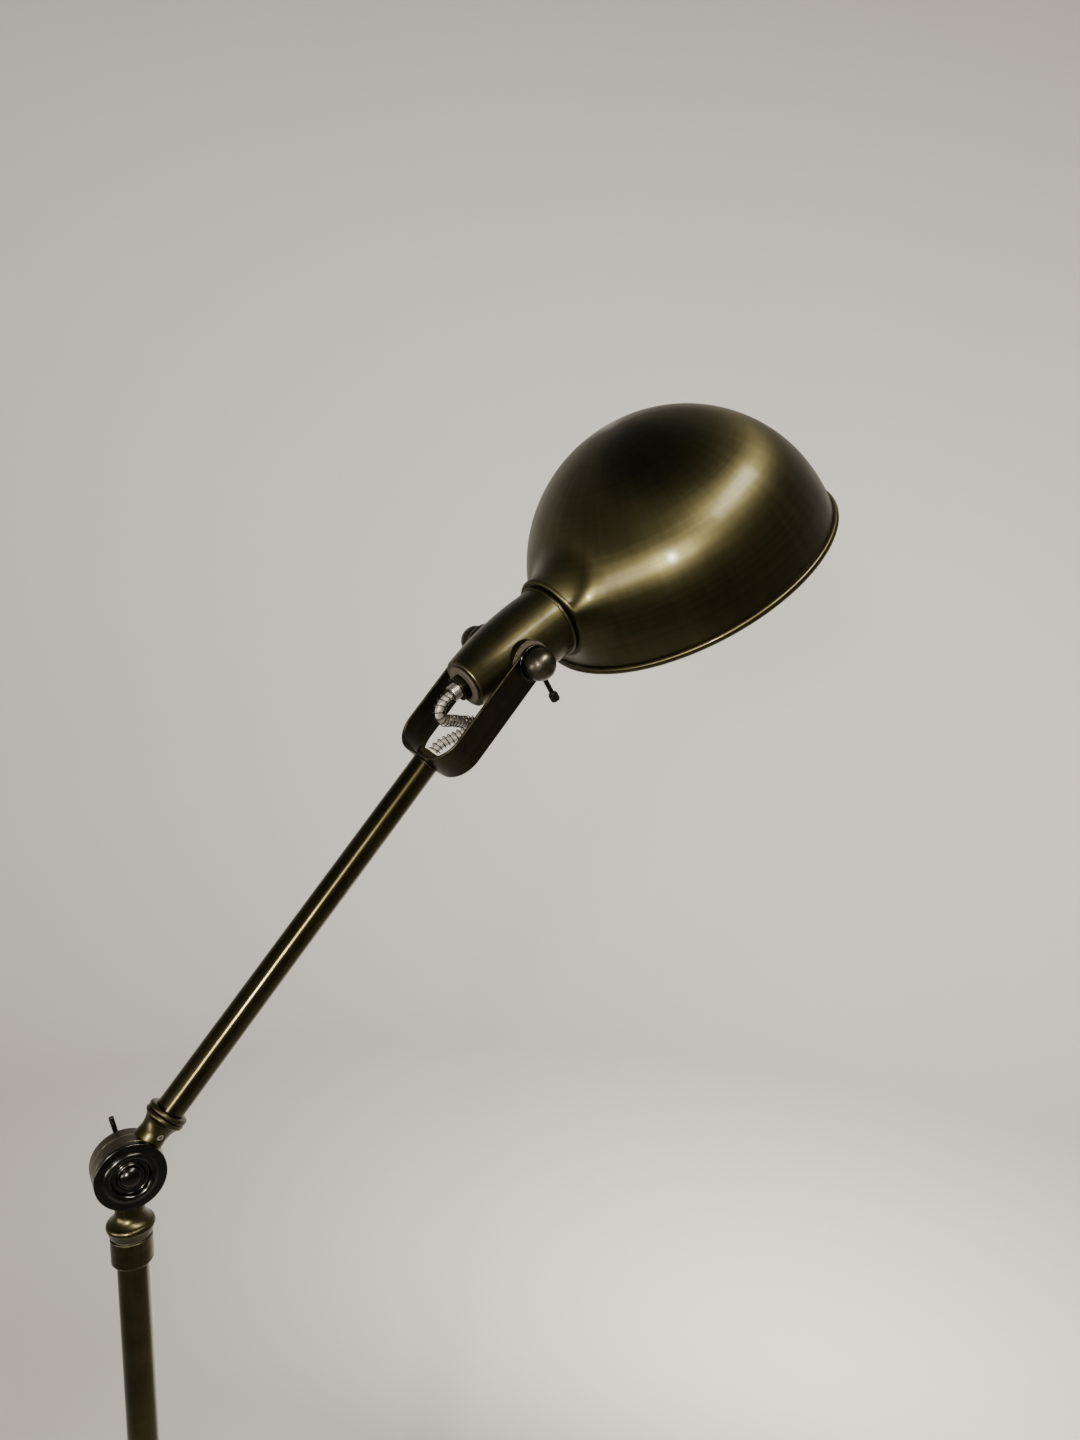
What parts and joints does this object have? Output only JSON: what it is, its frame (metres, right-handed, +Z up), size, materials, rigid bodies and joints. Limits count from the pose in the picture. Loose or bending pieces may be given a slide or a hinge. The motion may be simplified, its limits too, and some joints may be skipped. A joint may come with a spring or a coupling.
{
  "type": "floor lamp",
  "caption": "Floor lamp with a round weighted base, straight post, disc knuckle, leaning arm, strap fork and half dome metal shade that tilts and turns",
  "frame": {"origin": "centre of the base on the floor, under the post", "axes": "+Z up along the post, +X the way the arm leans, +Y along the knuckle's axis, away from its capped side"},
  "size_m": [0.5825, 0.254, 1.6397],
  "materials": {
    "bronze_spun": "spun and brushed, antique bronze finish",
    "bronze_satin": "brushed, antique bronze finish",
    "bronze_dark": "dark bronze plating, satin",
    "knuckle_metal": "dark plated casting, polished on its raised edges",
    "ball_metal": "turned, mottled antique finish",
    "plain_steel": "plain zinc plated steel",
    "iron": "rough cast, black",
    "felt": "pressed felt",
    "black_plastic": "moulded, fine grain",
    "fibre": "vulcanised fibre",
    "holder_plastic": "moulded phenolic",
    "brass": "drawn brass",
    "lamp_glass": "frosted, lit warm",
    "lead_cover": "silvery clear sheath",
    "spring_wire": "round wire, blackened"
  },
  "bodies": {
    "base": {"base_cover": "bronze_satin", "base_weight": "iron", "base_pad": "felt", "base_washer": "plain_steel", "base_nut": "plain_steel", "base_pipe": "plain_steel", "cord_inlet_bush": "black_plastic", "post_foot": "bronze_satin", "foot_insert": "plain_steel", "post_lower_tube": "bronze_satin", "post_middle_tube": "bronze_satin", "post_upper_tube": "bronze_satin", "tube_couplers": "plain_steel", "post_ferrule": "bronze_satin", "post_lead": "lead_cover"},
    "post_head": {"post_knuckle": "knuckle_metal", "swivel_washer": "fibre", "swivel_clip": "plain_steel"},
    "clamp": {"clamp_hub": "knuckle_metal", "clamp_bar": "plain_steel"},
    "arm": {"arm_knuckle": "knuckle_metal", "knuckle_cap": "knuckle_metal", "domed_screw": "knuckle_metal", "grub_screw": "plain_steel", "arm_stud": "plain_steel", "arm_tube": "bronze_dark", "arm_plug": "bronze_dark", "arm_lead": "lead_cover"},
    "fork_body": {"fork": "bronze_satin", "fork_nut": "plain_steel", "fork_washer": "plain_steel", "fork_pipe": "plain_steel", "lead_bush": "black_plastic", "lead": "lead_cover", "lead_spring": "spring_wire"},
    "head": {"socket_cup": "bronze_satin", "pivot_studs": "plain_steel", "fibre_washers": "fibre", "near_knob_washer": "ball_metal", "far_knob_washer": "ball_metal", "rear_washer": "fibre", "rear_nut": "bronze_dark", "cup_pipe": "plain_steel", "cup_lead": "lead_cover", "lampholder": "holder_plastic", "screw_shell": "brass", "centre_contact": "brass", "shade_ring": "holder_plastic", "bulb_cap": "plain_steel", "bulb_glass": "lamp_glass"},
    "shade_body": {"shade": "bronze_spun"},
    "near_nut": {"near_ball_nut": "ball_metal"},
    "far_nut": {"far_ball_nut": "ball_metal"},
    "switch": {"switch_stem": "bronze_dark", "switch_knob": "black_plastic"}
  },
  "joints": [
    {"name": "post_swivel", "type": "hinge", "parent": "base", "child": "post_head", "pos_m": [0, 0, 1.1812], "axis": [0, 0, 1], "range_deg": [-170, 170]},
    {"name": "clamp_turn", "type": "hinge", "parent": "post_head", "child": "clamp", "pos_m": [0, 0, 1.22], "axis": [0, 1, 0], "continuous": true},
    {"name": "arm_tilt", "type": "hinge", "parent": "post_head", "child": "arm", "pos_m": [0, 0, 1.22], "axis": [0, 1, 0], "range_deg": [-135.7, 84.3]},
    {"name": "fork_swivel", "type": "hinge", "parent": "arm", "child": "fork_body", "pos_m": [0.22823, 0, 1.48535], "axis": [0.6521, 0, 0.7581], "range_deg": [-165, 165]},
    {"name": "head_tilt", "type": "hinge", "parent": "fork_body", "child": "head", "pos_m": [0.22823, 0, 1.48535], "axis": [-0.1802, 0.9713, 0.155], "range_deg": [-90, 75], "deforming": ["lead", "lead_spring"]},
    {"name": "shade_turn", "type": "hinge", "parent": "head", "child": "shade_body", "pos_m": [0.22823, 0, 1.48535], "axis": [0.8605, 0.0793, 0.5032], "range_deg": [-90, 90]},
    {"name": "near_nut_turn", "type": "hinge", "parent": "head", "child": "near_nut", "pos_m": [0.22823, 0, 1.48535], "axis": [-0.1802, 0.9713, 0.155], "continuous": true},
    {"name": "far_nut_turn", "type": "hinge", "parent": "head", "child": "far_nut", "pos_m": [0.22823, 0, 1.48535], "axis": [-0.1802, 0.9713, 0.155], "continuous": true},
    {"name": "switch_turn", "type": "hinge", "parent": "head", "child": "switch", "pos_m": [0.24028, 0.00111, 1.49239], "axis": [0.5059, -0.0176, -0.8624], "continuous": true}
  ]
}
